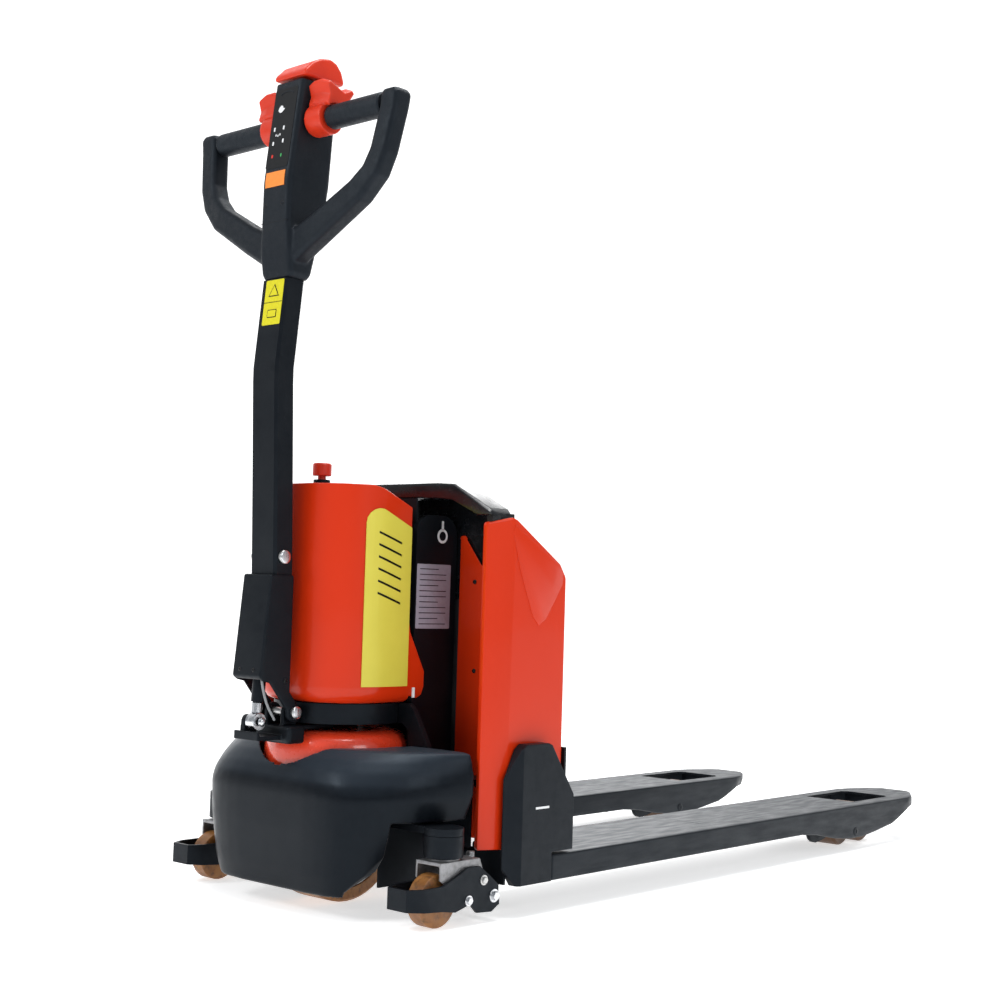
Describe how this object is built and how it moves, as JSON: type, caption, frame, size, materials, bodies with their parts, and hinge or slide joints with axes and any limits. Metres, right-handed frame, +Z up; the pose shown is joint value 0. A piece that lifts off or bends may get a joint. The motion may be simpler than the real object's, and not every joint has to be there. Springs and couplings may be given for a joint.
{
  "type": "electric pallet truck",
  "caption": "Walk-behind electric pallet truck: steered drive wheel under a tilting tiller, two casters, and a lifting fork frame with load rollers.",
  "frame": {"origin": "on the floor, under the middle of the overall length and width", "axes": "+Y from the tiller towards the fork tips, +X to the right as seen from the tiller, +Z up"},
  "size_m": [0.56, 1.549, 1.2405],
  "materials": {
    "red_cover": "gloss",
    "red_control": "satin",
    "yellow_panel": "satin",
    "black_moulding": "satin",
    "black_paint": "satin",
    "grip_rubber": "satin",
    "polyurethane": "satin",
    "zinc_plate": "satin",
    "bare_steel": "satin",
    "battery_case": "matte",
    "orange_key": "satin"
  },
  "bodies": {
    "chassis": {"chassis_frame": "black_paint", "slewing_bearing_race": "bare_steel", "base_cover": "black_moulding", "pump_case": "red_cover", "vent_panel_left": "yellow_panel", "vent_panel_right": "yellow_panel", "support_ring": "black_paint", "stop_collar": "black_moulding", "pump_motor": "bare_steel", "oil_tank": "black_moulding", "motor_controller": "battery_case", "lift_cylinder": "black_paint", "caster_head_left": "black_paint", "caster_head_right": "black_paint"},
    "stop_button": {"stop_knob": "red_control"},
    "drive_unit": {"drive_yoke": "black_paint", "hub_motor": "bare_steel", "dome_cover": "red_cover", "tiller_bracket": "black_paint"},
    "drive_wheel": {"drive_rim": "zinc_plate", "drive_tread": "polyurethane"},
    "tiller": {"tiller_arm": "black_paint", "handle_head": "black_moulding", "grip_left": "grip_rubber", "grip_right": "grip_rubber", "tiller_pivot_pin": "zinc_plate", "gas_spring_pin": "zinc_plate"},
    "gas_spring": {"gas_spring_body": "black_paint"},
    "gas_spring_piston": {"gas_spring_rod": "bare_steel"},
    "belly_button": {"belly_switch": "red_control"},
    "paddles": {"paddle_left": "red_control", "paddle_right": "red_control"},
    "lift_switch": {"lift_rocker": "orange_key"},
    "fork_frame": {"fork_left": "black_paint", "fork_right": "black_paint", "heel_frame": "black_paint", "side_cover_left": "red_cover", "side_cover_right": "red_cover", "top_arch": "black_moulding", "battery_pack": "battery_case", "lift_rod": "bare_steel"},
    "rocker": {"lift_rocker_shaft": "black_paint"},
    "caster_swivel_left": {"caster_bridge_left": "zinc_plate", "caster_guard_left": "black_paint"},
    "caster_link_left": {"caster_arm_left": "zinc_plate"},
    "caster_roller_left": {"caster_wheel_left": "polyurethane"},
    "rod_left": {"push_rod_left": "bare_steel"},
    "yoke_left": {"roller_yoke_left": "black_paint"},
    "bogie_left": {"roller_bogie_left": "zinc_plate"},
    "roller_left_front": {"load_roller_left_front": "polyurethane"},
    "roller_left_rear": {"load_roller_left_rear": "polyurethane"},
    "caster_swivel_right": {"caster_bridge_right": "zinc_plate", "caster_guard_right": "black_paint"},
    "caster_link_right": {"caster_arm_right": "zinc_plate"},
    "caster_roller_right": {"caster_wheel_right": "polyurethane"},
    "rod_right": {"push_rod_right": "bare_steel"},
    "yoke_right": {"roller_yoke_right": "black_paint"},
    "bogie_right": {"roller_bogie_right": "zinc_plate"},
    "roller_right_front": {"load_roller_right_front": "polyurethane"},
    "roller_right_rear": {"load_roller_right_rear": "polyurethane"}
  },
  "joints": [
    {"name": "stop_press", "type": "slide", "parent": "chassis", "child": "stop_button", "axis": [0, 0, 1], "range_m": [-0.0055, 0]},
    {"name": "steer", "type": "hinge", "parent": "chassis", "child": "drive_unit", "pos_m": [0, -0.5945, 0.192], "axis": [0, 0, 1], "range_deg": [-85, 85]},
    {"name": "drive_spin", "type": "hinge", "parent": "drive_unit", "child": "drive_wheel", "pos_m": [0, -0.5945, 0.105], "axis": [1, 0, 0], "continuous": true},
    {"name": "tiller_tilt", "type": "hinge", "parent": "drive_unit", "child": "tiller", "pos_m": [0, -0.7075, 0.281], "axis": [1, 0, 0], "range_deg": [0, 70], "stiffness_Nm_per_rad": 24, "springref_deg": -20.05},
    {"name": "gas_spring_swing", "type": "hinge", "parent": "drive_unit", "child": "gas_spring", "pos_m": [0, -0.7535, 0.268], "axis": [1, 0, 0], "range_deg": [0, 76]},
    {"name": "gas_spring_stroke", "type": "slide", "parent": "gas_spring", "child": "gas_spring_piston", "axis": [0, 0.07, 0.9975], "range_m": [-0.06, 0]},
    {"name": "belly_press", "type": "slide", "parent": "tiller", "child": "belly_button", "axis": [0, 0, 1], "range_m": [-0.004, 0], "stiffness_N_per_m": 900, "springref_m": 0.002},
    {"name": "speed_paddles", "type": "hinge", "parent": "tiller", "child": "paddles", "pos_m": [0, -0.7115, 1.14], "axis": [1, 0, 0], "range_deg": [-30, 30], "stiffness_Nm_per_rad": 0.6},
    {"name": "lift_lower_rock", "type": "hinge", "parent": "tiller", "child": "lift_switch", "pos_m": [0, -0.6805, 1.09], "axis": [1, 0, 0], "range_deg": [-5, 5], "stiffness_Nm_per_rad": 0.2},
    {"name": "fork_lift", "type": "slide", "parent": "chassis", "child": "fork_frame", "axis": [0, 0, 1], "range_m": [0, 0.115]},
    {"name": "rocker_turn", "type": "hinge", "parent": "fork_frame", "child": "rocker", "pos_m": [0, -0.4445, 0.072], "axis": [1, 0, 0], "range_deg": [0, 50.6]},
    {"name": "caster_swivel_turn_left", "type": "hinge", "parent": "chassis", "child": "caster_swivel_left", "pos_m": [-0.237, -0.6065, 0.094], "axis": [0, 0, 1], "continuous": true},
    {"name": "caster_link_swing_left", "type": "hinge", "parent": "caster_swivel_left", "child": "caster_link_left", "pos_m": [-0.237, -0.5705, 0.062], "axis": [1, 0, 0], "range_deg": [-5, 0], "stiffness_Nm_per_rad": 400, "springref_deg": 6.88},
    {"name": "caster_spin_left", "type": "hinge", "parent": "caster_link_left", "child": "caster_roller_left", "pos_m": [-0.237, -0.6275, 0.0365], "axis": [1, 0, 0], "continuous": true},
    {"name": "push_rod_slide_left", "type": "slide", "parent": "fork_frame", "child": "rod_left", "axis": [0, 1, 0.008], "range_m": [0, 0.0141]},
    {"name": "yoke_swing_left", "type": "hinge", "parent": "fork_frame", "child": "yoke_left", "pos_m": [-0.2, 0.3825, 0.045], "axis": [1, 0, 0], "range_deg": [-46.3, 0]},
    {"name": "bogie_level_left", "type": "hinge", "parent": "yoke_left", "child": "bogie_left", "pos_m": [-0.2, 0.5455, 0.037], "axis": [1, 0, 0], "range_deg": [0, 46.3]},
    {"name": "roller_spin_left_front", "type": "hinge", "parent": "bogie_left", "child": "roller_left_front", "pos_m": [-0.2, 0.5055, 0.037], "axis": [1, 0, 0], "continuous": true},
    {"name": "roller_spin_left_rear", "type": "hinge", "parent": "bogie_left", "child": "roller_left_rear", "pos_m": [-0.2, 0.5855, 0.037], "axis": [1, 0, 0], "continuous": true},
    {"name": "caster_swivel_turn_right", "type": "hinge", "parent": "chassis", "child": "caster_swivel_right", "pos_m": [0.237, -0.6065, 0.094], "axis": [0, 0, 1], "continuous": true},
    {"name": "caster_link_swing_right", "type": "hinge", "parent": "caster_swivel_right", "child": "caster_link_right", "pos_m": [0.237, -0.5705, 0.062], "axis": [1, 0, 0], "range_deg": [-5, 0], "stiffness_Nm_per_rad": 400, "springref_deg": 6.88},
    {"name": "caster_spin_right", "type": "hinge", "parent": "caster_link_right", "child": "caster_roller_right", "pos_m": [0.237, -0.6275, 0.0365], "axis": [1, 0, 0], "continuous": true},
    {"name": "push_rod_slide_right", "type": "slide", "parent": "fork_frame", "child": "rod_right", "axis": [0, 1, 0.008], "range_m": [0, 0.0141]},
    {"name": "yoke_swing_right", "type": "hinge", "parent": "fork_frame", "child": "yoke_right", "pos_m": [0.2, 0.3825, 0.045], "axis": [1, 0, 0], "range_deg": [-46.3, 0]},
    {"name": "bogie_level_right", "type": "hinge", "parent": "yoke_right", "child": "bogie_right", "pos_m": [0.2, 0.5455, 0.037], "axis": [1, 0, 0], "range_deg": [0, 46.3]},
    {"name": "roller_spin_right_front", "type": "hinge", "parent": "bogie_right", "child": "roller_right_front", "pos_m": [0.2, 0.5055, 0.037], "axis": [1, 0, 0], "continuous": true},
    {"name": "roller_spin_right_rear", "type": "hinge", "parent": "bogie_right", "child": "roller_right_rear", "pos_m": [0.2, 0.5855, 0.037], "axis": [1, 0, 0], "continuous": true}
  ],
  "couplings": [
    {"joint": "gas_spring_swing", "follows": "tiller_tilt", "ratio": 1.05},
    {"joint": "gas_spring_stroke", "follows": "tiller_tilt", "m_per_rad": -0.0389},
    {"joint": "rocker_turn", "follows": "fork_lift", "rad_per_m": 7.6491},
    {"joint": "push_rod_slide_left", "follows": "fork_lift", "ratio": 0.1209},
    {"joint": "yoke_swing_left", "follows": "fork_lift", "rad_per_m": -6.997},
    {"joint": "bogie_level_left", "follows": "fork_lift", "rad_per_m": 6.997},
    {"joint": "push_rod_slide_right", "follows": "fork_lift", "ratio": 0.1209},
    {"joint": "yoke_swing_right", "follows": "fork_lift", "rad_per_m": -6.997},
    {"joint": "bogie_level_right", "follows": "fork_lift", "rad_per_m": 6.997}
  ]
}
